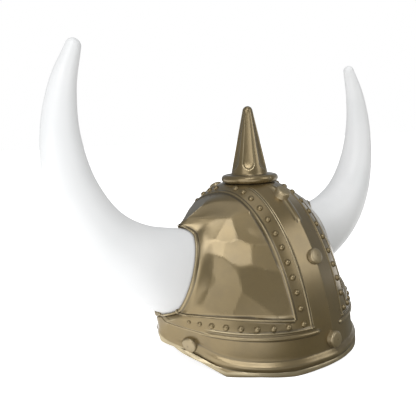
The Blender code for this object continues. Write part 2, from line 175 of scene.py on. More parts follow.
# %% Floor: pale to the eye, and grey in what the helmet's front reflects
bpy.ops.mesh.primitive_circle_add(vertices=64, radius=30.0, fill_type="NGON")
floor = bpy.context.object
floor.name = "floor"
floor_paint = Paint("pale_floor", Base_Color=(0.9, 0.9, 0.9, 1.0), Roughness=0.8,
                    Emission_Color=(1.0, 1.0, 1.0, 1.0), Emission_Strength=0.78)
grey = floor_paint.node("ShaderNodeBsdfDiffuse", {}, {"Color": (0.22, 0.21, 0.17, 1.0)})
seen = floor_paint.node("ShaderNodeLightPath", {}, {}, "Is Camera Ray")
spot_x = floor_paint.node("ShaderNodeSeparateXYZ", {}, {0: floor_paint.place}, "X")
spot_y = Value(floor_paint, spot_x.socket.node.outputs["Y"])
left = floor_paint.band(spot_x * -1.0, 0.08, 0.13)                 # metres from the middle
behind = floor_paint.band(spot_x + spot_y * 3.0, 0.06, 0.14)
far_behind = floor_paint.band(spot_y, 0.26, 0.42)
pale = (seen + left + behind * (1.0 - far_behind)).clamped()
whole = floor_paint.node("ShaderNodeMixShader", {}, {0: pale, 1: grey})
floor_paint.tree.links.new(floor_paint.shader.outputs[0], whole.socket.node.inputs[2])
floor_paint.tree.links.new(whole.socket, floor_paint.tree.nodes["Material Output"].inputs[0])
floor.data.materials.append(floor_paint.material)
print("floor:", len(floor_paint.tree.nodes), "nodes")

# %% Room
world = bpy.data.worlds.new("room")
bpy.context.scene.world = world
bpy.context.scene.view_settings.view_transform = "Standard"
world.use_nodes = True
room = world.node_tree
ray = room.nodes.new("ShaderNodeLightPath")
wall = room.nodes["Background"]
wall.inputs["Color"].default_value = (0.93, 0.97, 1.0, 1.0)
wall.inputs["Strength"].default_value = 0.27
mixed = wall.outputs[0]
for kind, strength in (("Is Diffuse Ray", 0.6), ("Is Camera Ray", 1.0)):
    white = room.nodes.new("ShaderNodeBackground")
    white.inputs["Color"].default_value = (1.0, 1.0, 1.0, 1.0)
    white.inputs["Strength"].default_value = strength
    shades = room.nodes.new("ShaderNodeMixShader")
    room.links.new(ray.outputs[kind], shades.inputs["Fac"])
    room.links.new(mixed, shades.inputs[1])
    room.links.new(white.outputs[0], shades.inputs[2])
    mixed = shades.outputs[0]
room.links.new(mixed, room.nodes["World Output"].inputs["Surface"])
print("room:", len(room.nodes), "nodes")

# %% Soft boxes
SOFT_BOXES = (
    # name, azimuth, elevation, distance, width, height, watts
    ("key", -45, 46, 2.6, 1.05, 1.05, 17.0),
    ("fill", 26, 28, 2.6, 1.1, 1.4, 10.6),
    ("left", -70, 15, 2.8, 1.8, 1.6, 16.6),
    ("rear", 126, 3, 3.0, 2.2, 0.8, 2.0),
    ("top", 0, 82, 2.8, 1.8, 1.8, 7.5),
)
LIT_POINT = Vector((0.0, 0.0, 120 * MM))           # the point that all of them face
for name, azimuth, elevation, distance, width, height, watts in SOFT_BOXES:
    towards = direction(math.radians(azimuth), math.radians(elevation))
    bpy.ops.object.light_add(type="AREA", location=LIT_POINT + towards * distance)
    lamp = bpy.context.object
    lamp.name = f"soft_box_{name}"
    lamp.rotation_euler = towards.to_track_quat("Z", "Y").to_euler()
    lamp.data.shape = "RECTANGLE"
    lamp.data.size = width
    lamp.data.size_y = height
    lamp.data.energy = watts
print("lit by", len(SOFT_BOXES), "soft boxes")

# %% [markdown]
# ## Helpers for modelling
# Modelling operators act on whatever is selected, and loading the frame leaves its nodes
# selected. So everything is deselected before a primitive is added, and a piece is finished
# by putting its place into its mesh.

# %% Choosing, adding and copying pieces
def choose(*pieces):
    """Select these pieces and nothing else."""
    for other in list(bpy.context.selected_objects):
        other.select_set(False)
    for piece in pieces:
        piece.select_set(True)
    if pieces:
        bpy.context.view_layer.objects.active = pieces[0]


def edit(piece):
    """Go into edit mode on one piece alone, with all of its mesh selected."""
    choose(piece)
    bpy.ops.object.mode_set(mode="EDIT")
    bpy.ops.mesh.select_all(action="SELECT")


def leave_edit():
    bpy.ops.object.mode_set(mode="OBJECT")


def added(operator, name, **settings):
    """A new primitive, alone in the selection."""
    choose()
    operator(**settings)
    piece = bpy.context.object
    piece.name = piece.data.name = name
    return piece


def copied(piece, place):
    """A copy with its own mesh, moved to a place."""
    copy = piece.copy()
    copy.data = piece.data.copy()
    copy.data.transform(place)
    bpy.context.collection.objects.link(copy)
    return copy

# %% Joining pieces, and closing work on them
def joined(pieces, name):
    """One piece out of several, with their touching edges welded."""
    choose(*pieces)
    bpy.ops.object.join()
    whole = bpy.context.object
    whole.name = whole.data.name = name
    edit(whole)
    bpy.ops.mesh.remove_doubles(threshold=0.01 * MM)
    leave_edit()
    return whole


def face_outwards(piece):
    edit(piece)
    bpy.ops.mesh.normals_make_consistent(inside=False)
    leave_edit()


def smooth(piece, degrees=40):
    choose(piece)
    bpy.ops.object.shade_smooth_by_angle(angle=math.radians(degrees))

# %% Reading and writing a mesh's points
def read(things, name, width):
    """One property of all vertices, edges or values, as rows of numbers."""
    flat = np.empty(len(things) * width, dtype=int if name == "vertices" else float)
    things.foreach_get(name, flat)
    return flat.reshape(-1, width)


def points_of(piece):
    """The vertices of a mesh as rows of x, y, z."""
    return read(piece.data.vertices, "co", 3)


def set_points(piece, points):
    piece.data.vertices.foreach_set("co", np.asarray(points, dtype=float).ravel())
    piece.data.update()


def store(piece, name, values):
    """A number for every vertex, kept with the mesh."""
    kept = piece.data.attributes.new(name, "FLOAT", "POINT")
    kept.data.foreach_set("value", values)


def surface_of(piece):
    """The mesh as it is now, for finding the nearest point of it."""
    return BVHTree.FromPolygons([vertex.co for vertex in piece.data.vertices],
                                [tuple(face.vertices) for face in piece.data.polygons])

# %% Giving a piece its finish, and soft steps and ridges
def finish(piece, node, paint):
    """Give a piece its finish and its place in the frame."""
    piece.data.materials.clear()
    piece.data.materials.append(paint.material)
    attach(piece, "root")
    if node:
        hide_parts(node)
    triangles = sum(len(face.vertices) - 2 for face in piece.data.polygons)
    print(f"{piece.name}: {triangles} triangles")


def ease(value):
    """Smooth step from 0 to 1, on numbers or arrays."""
    value = np.clip(value, 0.0, 1.0)
    return value * value * (3.0 - 2.0 * value)


def bump(distance, half_width):
    """A round-topped ridge: 1 in the middle, 0 from half_width on."""
    return np.clip(1.0 - (distance / half_width) ** 2, 0.0, 1.0) ** 0.8


def swell(distance, half_width):
    """A soft ridge that runs out smoothly."""
    return 1.0 - ease(np.abs(distance) / half_width)

# %% [markdown]
# ## Horns
# Each horn is one hollow white moulding that bends upwards as it narrows, and is a little
# flattened from front to back near its root. A tube of rings is extruded straight up from a
# circle, ring by ring, and then every ring is set on the horn's curved centreline, with its
# own height and depth from a short table. The left horn is a mirrored copy.

# %% The horn's centreline
BEAD_Z = 35 * MM
CROWN_Y = -5 * MM                 # the spike stands this far in front of the box's middle
CROWN = Vector((0.0, CROWN_Y, 0.0))
HORN_STATIONS = np.array((
    # x,    z over the bead, half height, depth as a part of the height
    (91.6, 52.6, 43.8, 0.50),
    (143.2, 73.6, 35.6, 0.80),
    (178.1, 103.2, 28.2, 0.89),
    (198.2, 143.6, 21.7, 0.91),
    (204.1, 187.4, 16.1, 0.92),
    (198.7, 226.9, 11.3, 0.96),
    (186.3, 259.8, 6.4, 1.00),
))
HORN_LEAN = 3.5 * MM              # the tip lies this much further back than the root
HORN_RINGS, HORN_SIDES = 84, 56
HORN_VENT = 3.5 * MM              # radius of the vent in the closed root


def horn_place(part):
    """Centre, half height and depth of the horn at a part of its length."""
    place = np.clip(part, 0.0, 1.0) * (len(HORN_STATIONS) - 1)
    index = int(min(place, len(HORN_STATIONS) - 2))
    padded = np.vstack([2 * HORN_STATIONS[0] - HORN_STATIONS[1], HORN_STATIONS,
                        2 * HORN_STATIONS[-1] - HORN_STATIONS[-2]])
    a, b, c, d = padded[index:index + 4]
    t = place - index
    x, z, half, depth = 0.5 * (2 * b + (c - a) * t + (2 * a - 5 * b + 4 * c - d) * t ** 2
                               + (3 * b - a - 3 * c + d) * t ** 3)
    centre = np.array((x * MM, CROWN_Y + HORN_LEAN * part ** 2, z * MM + BEAD_Z))
    return centre, half * MM, depth


print("the horn is", round(horn_place(0.0)[1] * 2 / MM), "mm high at its root and",
      round(horn_place(1.0)[1] * 2 / MM), "mm at its tip")

# %% One straight tube, extruded ring by ring
def tube(name, sides, rings, step):
    """A circle with a radius of 1, extruded up or down by a step for each further ring."""
    piece = added(bpy.ops.mesh.primitive_circle_add, name, vertices=sides, radius=1.0)
    edit(piece)
    for _ in range(rings - 1):
        bpy.ops.mesh.extrude_region_move(TRANSFORM_OT_translate={"value": (0.0, 0.0, step)})
    leave_edit()
    print(name, "has", rings, "rings of", sides, "points")
    return piece


horn = tube("horn_right_shape", HORN_SIDES, HORN_RINGS + 1, 1.0)

# %% Rings put on the centreline, with a vent at the root and a round tip
ROOT_RINGS = 5                    # rings of the flat root, from its vent outwards
TIP_RINGS = 10                    # rings of the round tip
BODY_RINGS = HORN_RINGS - ROOT_RINGS - TIP_RINGS
STEP = 0.01                       # part of the length over which the direction is taken
SMALLEST = 0.004                  # size of the last ring, all but a point


def horn_point(x, y, ring):
    """Place of a point of the straight tube on the bent horn."""
    part = (ring - ROOT_RINGS) / BODY_RINGS
    centre, half, depth = horn_place(part)
    ahead = (horn_place(np.clip(part + STEP, 2 * STEP, 1.0))[0]
             - horn_place(np.clip(part - STEP, 0.0, 1.0 - 2 * STEP))[0])
    ahead = ahead / np.linalg.norm(ahead)
    upward = np.array((-ahead[2], 0.0, ahead[0]))
    size = 1.0
    if part < 0.0:
        size = 1.0 - (ROOT_RINGS - ring) / ROOT_RINGS * (1.0 - HORN_VENT / half)
        centre = horn_place(0.0)[0]
    if part > 1.0:
        turn = (part - 1.0) * BODY_RINGS / TIP_RINGS * math.pi / 2
        size = max(math.cos(turn), SMALLEST)
        centre = horn_place(1.0)[0] + ahead * half * math.sin(turn)
    return centre + size * half * (upward * x + np.array((0.0, -depth, 0.0)) * y)


set_points(horn, [horn_point(x, y, round(z)) for x, y, z in points_of(horn)])
edit(horn)
bpy.ops.mesh.remove_doubles(threshold=0.02 * MM)
bpy.ops.mesh.normals_make_consistent(inside=False)
leave_edit()
smooth(horn)
horn_skin = surface_of(horn)
print("horn reaches", [round(side / MM, 1) for side in points_of(horn).max(axis=0)], "mm")

# %% [markdown]
# ## Finishes
# The shell, the spike and the rivets are plastic with a satin bronze paint: half metal, half
# lacquer, a touch darker and browner in one place and greener in another. Edges that are
# handled shine through a little lighter, and hollows get a painted shade, a darker tone that
# stands in for the shade that falls in them. For that every bronze piece carries an attribute
# with how much each point stands out of its surroundings.

# %% How far each point stands out
def store_edges(piece, gain, handled=0.0):
    """Attribute edges: over 0.5 on ridges and where it is handled, and under it in hollows."""
    places, normals = points_of(piece), read(piece.data.vertices, "normal", 3)
    a, b = read(piece.data.edges, "vertices", 2).T
    step = places[b] - places[a]
    long = np.maximum(np.linalg.norm(step, axis=1), 0.02 * MM)
    total, count = np.zeros(len(places)), np.zeros(len(places))
    for here, there, turn in ((a, normals[a], step), (b, normals[b], -step)):
        np.add.at(total, here, -np.einsum("ij,ij->i", there, turn) / long)
        np.add.at(count, here, 1.0)
    store(piece, "edges", np.clip(0.5 + gain * total / np.maximum(count, 1.0) + handled, 0.0, 1.0))

# %% Bronze
def bronze_paint(name, brown, green, rubbed, dark, rough=0.24):
    """Satin bronze: two base tones, a rubbed one on edges and a dark one as painted shade in hollows.
    """
    paint = Paint(name, IOR=1.5, Coat_Weight=0.8, Coat_IOR=1.45, Coat_Roughness=0.24,
                  Specular_Tint=(0.80, 0.79, 0.77, 1.0))
    edges = paint.node("ShaderNodeAttribute", {"attribute_name": "edges"}, {}, 2)
    grain = paint.noise(900.0, 2.0)
    haze = paint.noise(60.0, 4.0)
    base = paint.mix(paint.band(paint.noise(9.0, 3.0), 0.3, 0.7), brown, green)
    worn = paint.mix(paint.band(edges, 0.56, 0.85), base, rubbed)
    # painted shade: where the edges attribute is low, in hollows and grooves, the colour goes to the
    # dark tone
    hollow_shaded = paint.mix(paint.band(edges, 0.44, 0.25), worn, dark)
    speckled = paint.mix(paint.band(haze, 0.35, 0.75) * 0.25, hollow_shaded, dark)
    paint.feed(Base_Color=speckled, Roughness=haze * 0.12 + rough, Metallic=grain * 0.2 + 0.62)
    paint.bump(grain * 0.7 + haze * 0.3, 0.06 * MM, 0.35)
    print(name, "has", len(paint.tree.nodes), "nodes")
    return paint


bronze = bronze_paint("satin_bronze", brown=(0.208, 0.152, 0.067), green=(0.228, 0.173, 0.086),
                      rubbed=(0.40, 0.33, 0.20), dark=(0.115, 0.090, 0.050))
rivet_bronze = bronze_paint("rivet_bronze", brown=(0.34, 0.27, 0.155), green=(0.37, 0.295, 0.175),
                            rubbed=(0.48, 0.40, 0.26), dark=(0.12, 0.09, 0.045), rough=0.34)

# %% White plastic of the horns, with a painted glow
# painted glow: the emission stands in for light through the thin plastic and lightens the horns'
# shade
ivory = Paint("white_plastic", IOR=1.46, Emission_Color=(1.0, 1.0, 1.0, 1.0),
              Emission_Strength=0.13)
cloud = ivory.noise(14.0, 3.0)
fine = ivory.noise(700.0, 2.0)
white_tone = ivory.mix(ivory.band(cloud, 0.3, 0.7), (0.55, 0.56, 0.565), (0.59, 0.595, 0.60))
ivory.feed(Base_Color=white_tone, Roughness=ivory.noise(40.0, 3.0) * 0.12 + 0.32)
ivory.bump(fine, 0.04 * MM, 0.3)
print("white plastic:", len(ivory.tree.nodes), "nodes")

# %% [markdown]
# ## Shell: the smooth surface
# The shell is one thin moulding. Its dome is an ellipsoid with a low crease from front to
# back, its sides turn out into a collar round each horn, and below the lower bead it widens
# into a rolled brim. One quarter of that surface is described here by a few formulas, as if
# the spike stood at x = y = 0. A moulded shell is too free a form for primitives alone, so
# the sheets below are primitive grids whose points are put on these formulas.

# %% Sizes of the dome, the bands and the panels
DOME_HALF_WIDTH, DOME_HALF_LENGTH, DOME_HALF_HEIGHT = 106.8 * MM, 108.8 * MM, 199.8 * MM
DOME_CENTRE_Z = BEAD_Z - 60 * MM
CREASE_RISE = 1.7 * MM
STRIP_EDGE, BAND_EDGE, PANEL_EDGE = 22.5 * MM, 38.7 * MM, 40.0 * MM
PANEL_RECESS = 0.7 * MM
LEVEL_BAND = 14.6 * MM            # height of the level studded band over the lower bead
SEAT_Z = BEAD_Z + 133.4 * MM      # the crown is flat from here up, under the spike's flange
BAND_PSI = 0.66                   # where the level band's upper edge meets the collar
LATE_RISE = 3.0                   # the lower bead stays level for long, then climbs to it
PANEL_PSI = math.radians(100)     # from here up the side is all bulging panel
SIDE_BULGE, TOP_BULGE = 0.030, 0.060   # bulge of a panel, as a part of its width
FOOT_PART = 0.93                  # the surface has come to the lip's foot this far along
print("the crown's seat is", round(SEAT_Z / MM, 1), "mm over the floor")

# %% Points of the dome
def mix(start, end, part):
    return start + (end - start) * part


def profile_point(x, rise, height_from, part):
    """Point in the plane x, part of the way from a height in front up to the crown."""
    shrink = math.sqrt(1.0 - (x / DOME_HALF_WIDTH) ** 2)
    low = math.asin((height_from - DOME_CENTRE_Z) / (DOME_HALF_HEIGHT * shrink))
    theta = mix(low, math.pi / 2, part)
    return Vector((x, -(DOME_HALF_LENGTH + rise) * shrink * math.cos(theta),
                   DOME_CENTRE_Z + (DOME_HALF_HEIGHT + rise) * shrink * math.sin(theta)))


def wall_point(x, height_from, part):
    """The same, with the low crease in the strip between the upright bands."""
    if x > STRIP_EDGE:
        return profile_point(x, 0.0, height_from, part)
    crease = profile_point(0.0, CREASE_RISE, height_from, part)
    return crease.lerp(profile_point(STRIP_EDGE, 0.0, height_from, part), x / STRIP_EDGE)


def dome_normal(point):
    return Vector((point.x / DOME_HALF_WIDTH ** 2, point.y / DOME_HALF_LENGTH ** 2,
                   (point.z - DOME_CENTRE_Z) / DOME_HALF_HEIGHT ** 2)).normalized()


def turn_at(point):
    """Angle round the dome's ellipse, from the front."""
    return math.atan2(point.x / DOME_HALF_WIDTH, -point.y / DOME_HALF_LENGTH)


def round_point(turn, height):
    shrink = math.sqrt(1.0 - ((height - DOME_CENTRE_Z) / DOME_HALF_HEIGHT) ** 2)
    return Vector((DOME_HALF_WIDTH * shrink * math.sin(turn),
                   -DOME_HALF_LENGTH * shrink * math.cos(turn), height))


print("half way up, the crease is", round(-wall_point(0.0, BEAD_Z, 0.5).y / MM, 1), "mm ahead")

# %% Sizes of the collar round the horn
COLLAR_CENTRE = Vector((100.7 * MM, 0.0, BEAD_Z + 55.6 * MM))
COLLAR_TILT = math.radians(19.9)
COLLAR_HALF_DEPTH, COLLAR_HALF_HEIGHT = 23.2 * MM, 42.5 * MM
AXIS_OUT = Vector((math.cos(COLLAR_TILT), 0.0, math.sin(COLLAR_TILT)))
COLLAR_UP = Vector((-math.sin(COLLAR_TILT), 0.0, math.cos(COLLAR_TILT)))
COLLAR_FRONT = Vector((0.0, -1.0, 0.0))
HOOD_REACH, HOOD_ANGLE = 11.2 * MM, math.radians(34)
CHIN_REACH, CHIN_ANGLE, CHIN_FLAT = 8.0 * MM, math.radians(45), math.radians(14)
LIP_WIDTH, LIP_FOOT, LIP_RISE = 4.0 * MM, 0.8 * MM, 1.2 * MM
LIP_THINNER = 0.6                 # part of its width that the lip loses at hood and chin
GAP, HOOD_GAP, CHIN_GAP = 0.4 * MM, 2.2 * MM, 0.8 * MM      # between the hole and the horn
print("the collar's axis points up by", round(math.degrees(COLLAR_TILT), 1), "degrees")

# %% Points of the collar and its lip
def hood_and_chin(psi):
    """Shares of hood and chin at an angle round the horn: psi is 0 below it, pi above it."""
    return (ease((psi - math.pi + HOOD_ANGLE) / HOOD_ANGLE),
            ease((CHIN_ANGLE - psi) / (CHIN_ANGLE - CHIN_FLAT)))


def collar_point(psi, wider, rise):
    """Point beside the collar's oval: wider by so much, and so far out along its axis."""
    hood, chin = hood_and_chin(psi)
    wider *= 1.0 - LIP_THINNER * (hood + chin)
    rise += HOOD_REACH * hood + CHIN_REACH * chin
    return (COLLAR_CENTRE + COLLAR_FRONT * ((COLLAR_HALF_DEPTH + wider) * math.sin(psi))
            - COLLAR_UP * ((COLLAR_HALF_HEIGHT + wider) * math.cos(psi))
            + AXIS_OUT * rise)


def hole_point(psi):
    """Edge of the hole: just outside the horn's skin, and further off at hood and chin."""
    hood, chin = hood_and_chin(psi)
    centre = COLLAR_CENTRE + AXIS_OUT * (HOOD_REACH * hood + CHIN_REACH * chin) + CROWN
    outward = (COLLAR_FRONT * (COLLAR_HALF_DEPTH * math.sin(psi))
               - COLLAR_UP * (COLLAR_HALF_HEIGHT * math.cos(psi))).normalized()
    skin = horn_skin.ray_cast(centre, outward)[0]
    gap = mix(mix(GAP, HOOD_GAP, hood), CHIN_GAP, chin)
    return skin + outward * gap - CROWN


def lip_point(psi, part):
    """Point of the round lip, part of the way from its foot to the hole."""
    foot = collar_point(psi, LIP_WIDTH, -LIP_FOOT)
    rise = (LIP_RISE + LIP_FOOT) * math.sqrt(max(1.0 - (2.0 * part - 1.0) ** 2, 0.0))
    return foot.lerp(hole_point(psi) - AXIS_OUT * LIP_FOOT, part) + AXIS_OUT * rise


for psi in (0.0, 0.8, 1.6, 2.4, math.pi):
    wide = (hole_point(psi) - collar_point(psi, LIP_WIDTH, -LIP_FOOT)).length
    print(f"lip at {math.degrees(psi):.0f} degrees: {wide / MM:.1f} mm")

# %% Points of the side, between the bands and the collar
def side_point(start, psi, part):
    """Point of the side between the band's edge and the foot of the collar's lip."""
    foot = collar_point(psi, LIP_WIDTH, -LIP_FOOT)
    first = round_point(turn_at(start), start.z)
    last = round_point(turn_at(foot), foot.z)
    bend = part ** mix(LATE_RISE, 1.0, ease(psi / BAND_PSI))
    low = round_point(mix(turn_at(start), turn_at(foot), part), mix(start.z, foot.z, bend))
    low += (start - first) * (1.0 - part) + (foot - last) * min(part / FOOT_PART, 1.0) ** 3
    chord = foot - start
    out = dome_normal(start)
    out = (out - chord * (out.dot(chord) / chord.length_squared)).normalized()
    bulge = mix(SIDE_BULGE, TOP_BULGE, ease(2.0 * psi / math.pi - 1.0))
    bulge *= chord.length * 4.0 * part * (1.0 - part)
    return low.lerp(start.lerp(foot, part) + out * bulge, ease(psi / PANEL_PSI))


middle = side_point(profile_point(PANEL_EDGE, 0.0, BEAD_Z, 0.5), math.pi / 2, 0.5)
print("the middle of a panel:", [round(c / MM, 1) for c in middle], "mm")

# %% Sizes of the brim
BRIM_HALF_WIDTH, BRIM_HALF_LENGTH = 100.8 * MM, 106.5 * MM
BRIM_CREASE = 1.6 * MM
END_FLARE = 4.2 * MM              # the most that the brim widens at the front and the back
SIDE_FLARE, EDGE_FLARE, FLARE_FROM = 8.2 * MM, 5.8 * MM, math.radians(48)
CHIN_FLARE, CHIN_FROM = 15.2 * MM, math.radians(73)
FLATTER = 0.8                     # part of its height that the roll loses towards the horn
SIDE_FROM = math.radians(59)      # where the rim starts to climb to the chin
RIM_TURNS = (0, 26, 43, 59, 64.5, 70.2, 75.2, 79.5, 84.8, 90)           # degrees off the front
RIM_HEIGHTS = (3.6, 0.0, 1.7, 0.1, 6.0, 12.0, 15.5, 18.4, 23.5, 29.5)   # mm over the floor
ROLL_HEIGHTS = (10.8, 8.6, 8.4, 9.8, 12.4, 16.8, 20.6, 24.0, 29.0, 34.0)
ROLL_BLUR = 9.0                   # degrees either way over which the roll's height is smoothed
BACK_LENGTH, BACK_BLEND = 10 * MM, 40 * MM        # the back reaches further, for a head
BACK_TO_SIDE = (40 * MM, 95 * MM)
BACK_LIFT, LIFT_FROM = 14 * MM, math.radians(40)
BEAD_CLIMB, CLIMB_FROM = 18 * MM, math.radians(70)
BRIM_ROWS = (
    # part of the way from the edge to the roll, then up by and wider by, in mm
    (0.00, 0.0, 3.8), (0.05, 0.0, 4.2), (0.18, 0.0, 4.25), (0.32, 0.0, 4.0), (0.44, 0.0, 3.6),
    (0.54, 0.0, 3.2), (1.0, -3.6, 3.0), (1.0, -2.9, 3.15), (1.0, -2.2, 3.45), (1.0, -1.4, 3.8),
    (1.0, -0.6, 4.0), (1.0, 0.3, 4.05), (1.0, 1.2, 3.8), (1.0, 2.1, 3.25), (1.0, 3.0, 2.5),
    (1.0, 3.9, 1.6), (1.0, 4.8, 0.8), (1.0, 5.7, 0.25), (1.0, 6.8, 0.0),
)
print("rows of the brim:", len(BRIM_ROWS))

# %% Points of the brim
def side_share(phi, start=SIDE_FROM):
    """0 up to an angle off the front, 1 at the side."""
    return ease((phi - start) / (math.pi / 2 - start))


def rim_height(phi, heights=RIM_HEIGHTS, blur=0.0):
    """Height of the rim, or of another line round the brim, smoothed over some degrees."""
    near = np.abs(math.degrees(phi) + blur * np.linspace(-1.0, 1.0, 9))
    return float(np.mean(np.interp(near, RIM_TURNS, heights))) * MM


def brim_point(phi, part, up, wider):
    """Point of the brim at an angle from the front."""
    wider *= 1.0 - FLATTER * part * side_share(phi)
    wider += (SIDE_FLARE + EDGE_FLARE * (1.0 - part)) * side_share(phi, FLARE_FROM)
    wider += CHIN_FLARE * part * side_share(phi, CHIN_FROM)
    x = (BRIM_HALF_WIDTH + wider) * math.sin(phi)
    y = -(BRIM_HALF_LENGTH + min(wider, END_FLARE)) * math.cos(phi)
    crease = BRIM_CREASE * max(1.0 - x / STRIP_EDGE, 0.0)
    height = mix(rim_height(phi), rim_height(phi, ROLL_HEIGHTS, ROLL_BLUR), part)
    return Vector((x, y - crease, height + up))


def twin_behind(point):
    """The point's twin at the back, which reaches further, with a higher rim by the horns."""
    low, high = BACK_TO_SIDE
    share = ease(-point.y / BACK_BLEND) * (1.0 - ease((point.x - low) / (high - low)))
    phi = math.atan2(point.x, -point.y)
    lift = max(math.sin(math.pi * (phi - LIFT_FROM) / (math.pi / 2 - LIFT_FROM)), 0.0) ** 0.5
    rim, top = rim_height(phi), BEAD_Z + BEAD_CLIMB * side_share(phi, CLIMB_FROM)
    lift *= BACK_LIFT * max(1.0 - (point.z - rim) / (top - rim), 0.0) if phi > LIFT_FROM else 0.0
    return Vector((point.x, -point.y + BACK_LENGTH * share, point.z + lift))


print("the rim climbs from", round(rim_height(SIDE_FROM) / MM, 1), "to",
      round(rim_height(math.pi / 2) / MM, 1), "mm over the floor at the chin")

# %% [markdown]
# ## Shell: rows and columns
# The surface is sampled by columns that run up from the rim to the crown, and by rows that
# run from the crease to the horn. Both stand close together wherever a bead, a groove or a
# step has to be shown, and wide apart on the smooth parts.

# %% Rows and columns of one quarter
def spaced(*runs):
    """Positions in runs of (from, to, count), each run without its last one."""
    return np.concatenate([np.linspace(a, b, count, endpoint=False) for a, b, count in runs])


# mm off the crease, over the strip and the upright band
FLAT_X = np.append(spaced((0, 1.5, 2), (1.5, 6, 3), (6, 12, 3), (12, 20.4, 7), (20.4, 24.6, 12),
                          (24.6, 36.6, 8), (36.6, BAND_EDGE / MM, 7)), BAND_EDGE / MM) * MM
# parts of the way from there to the collar, and then over the collar's lip
SIDE_PARTS = np.append(spaced((0.0, 0.03, 2), (0.03, 0.80, 34), (0.80, 1.0, 13)), 1.0)
LIP_PARTS = np.array((0.08, 0.20, 0.35, 0.50, 0.65, 0.80, 0.92, 1.0))
# parts of the way from the roll up to the lower bead, mm up the level band, and parts of the
# way from there to the crown
WALL_PARTS = spaced((0.0, 0.84, 6), (0.84, 1.0, 7))[1:]
LEVEL_V = spaced((0, 2.4, 6), (2.4, 5.4, 9), (5.4, 7.3, 1), (7.3, 12.9, 4), (12.9, 14.6, 6)) * MM
PANEL_PARTS = np.append(spaced((0.0, 0.012, 6), (0.012, 1.0, 62)), 1.0)
RECESS_BY = 0.008                 # part of the way up at which a panel has its full recess


def upper_row(height_from, part, psi):
    """A row from the crease to the horn, part of the way up to the crown."""
    row = [wall_point(x, height_from, part) for x in FLAT_X]
    recess = PANEL_RECESS * ease(part / RECESS_BY)    # the level band lies as high as the others
    start = profile_point(PANEL_EDGE, -recess, height_from, part)
    row += [side_point(start, psi, s) for s in SIDE_PARTS]
    return row + [lip_point(psi, s) for s in LIP_PARTS]


upper = [upper_row(BEAD_Z + v, 0.0, BAND_PSI * v / LEVEL_BAND) for v in LEVEL_V]
upper += [upper_row(BEAD_Z + LEVEL_BAND, part, mix(BAND_PSI, math.pi, part))
          for part in PANEL_PARTS]
on_bead = upper[0][:-len(LIP_PARTS)]          # the lip stands on the bead's last point
turns = [math.atan2(point.x, -point.y) for point in on_bead]
lower = [[brim_point(phi, part, up * MM, wider * MM) for phi in turns]
         for part, up, wider in BRIM_ROWS]
lower += [[low.lerp(high, part) for low, high in zip(lower[-1], on_bead)]
          for part in WALL_PARTS] + [on_bead]
for row in upper:
    for point in row:
        point.z = min(point.z, SEAT_Z)
print(len(lower), "rows below the bead,", len(upper), "above,", len(upper[0]), "columns")

# %% [markdown]
# ## Shell: the relief
# What is moulded into the surface is a height for every point of it: round beads along the
# bands, thin grooves beside them, a narrow rib on the crease, and the flat facets of the
# hammered panels. Each facet is a plane that cuts the smooth panel, and the lowest plane
# wins. The heights are kept as an attribute while the sheets are joined and thickened.

# %% Distances along the rows and columns, in millimetres
def as_array(rows):
    return np.array([[tuple(point) for point in row] for row in rows])


def along(grid, axis):
    """Distance run along an axis of a grid of points, in mm."""
    steps = np.linalg.norm(np.diff(grid, axis=axis), axis=2)
    zero = np.zeros_like(np.take(steps, [0], axis=axis))
    return np.concatenate([zero, np.cumsum(steps, axis=axis)], axis=axis) / MM


FLAT, SIDE = len(FLAT_X), len(SIDE_PARTS)
COLUMNS_UP, COLUMNS_LOW = len(upper[0]), len(on_bead)
ELSEWHERE = 60.0                  # stands for every column that is off the flat strip and bands
X_MM = np.concatenate([FLAT_X / MM, np.full(COLUMNS_UP - FLAT, ELSEWHERE)])[None, :]
SIDE_SHARE = np.concatenate([np.zeros(FLAT), SIDE_PARTS,
                             np.ones(COLUMNS_UP - FLAT - SIDE)])[None, :]
print("off the crease, the bands end at", round(float(FLAT_X[-1] / MM), 1), "mm")

# %% Beads and grooves
# place, height and half width in mm, where a groove's height is under zero
THICK_BEAD, HORN_GROOVE = (0.0, 1.8, 2.3), (0.0, -1.0, 1.3)           # on the lower bead's line
THIN_BEAD = (4.7, 0.85, 1.0)                                           # over the lower bead
UPPER_BEAD, UPPER_GROOVE = (-0.4, 1.0, 1.2), (1.5, -0.5, 1.0)          # over the upper bead
INNER_BEAD, INNER_GROOVE = (23.3, 0.75, 0.9), (21.5, -0.5, 0.9)        # off the crease
OUTER_BEAD = (37.7, 0.75, 1.0)
FOOT_GROOVE = (0.9, -0.5, 0.9)                                         # off the lip's foot
POINT_FROM, POINT_LONG = 13.0, 4.5          # mm off the crease: the thick bead starts in a point
THIN_FROM, THIN_LONG = 19.5, 2.0            # the same for the thin one
UPRIGHT_FROM, OUTER_FROM = 3.2, -1.0        # mm over the lower and over the upper bead
BEADS_TO, BEADS_OUT = 0.60, 0.12            # part of the side at which the beads run out
GROOVE_IN = 0.10                            # and over which the groove comes in


def line(distance, bead):
    """Height of a bead or depth of a groove, where distance is measured as its place is."""
    place, height, half_width = bead
    return height * (bump if height > 0.0 else swell)(distance - place, half_width)


def thick_bead(distance, x, side):
    """The bead on the lower line, which turns into a groove where it climbs to the horn."""
    point = ease((x - POINT_FROM) / POINT_LONG)
    _, high, half_width = THICK_BEAD
    bead = high * point * bump(distance, half_width * point + 0.01)
    by_horn = ease((side - BEADS_TO) / BEADS_OUT)
    groove = ease((side - BEADS_TO) / GROOVE_IN) * line(distance, HORN_GROOVE)
    return bead * (1.0 - by_horn) + groove


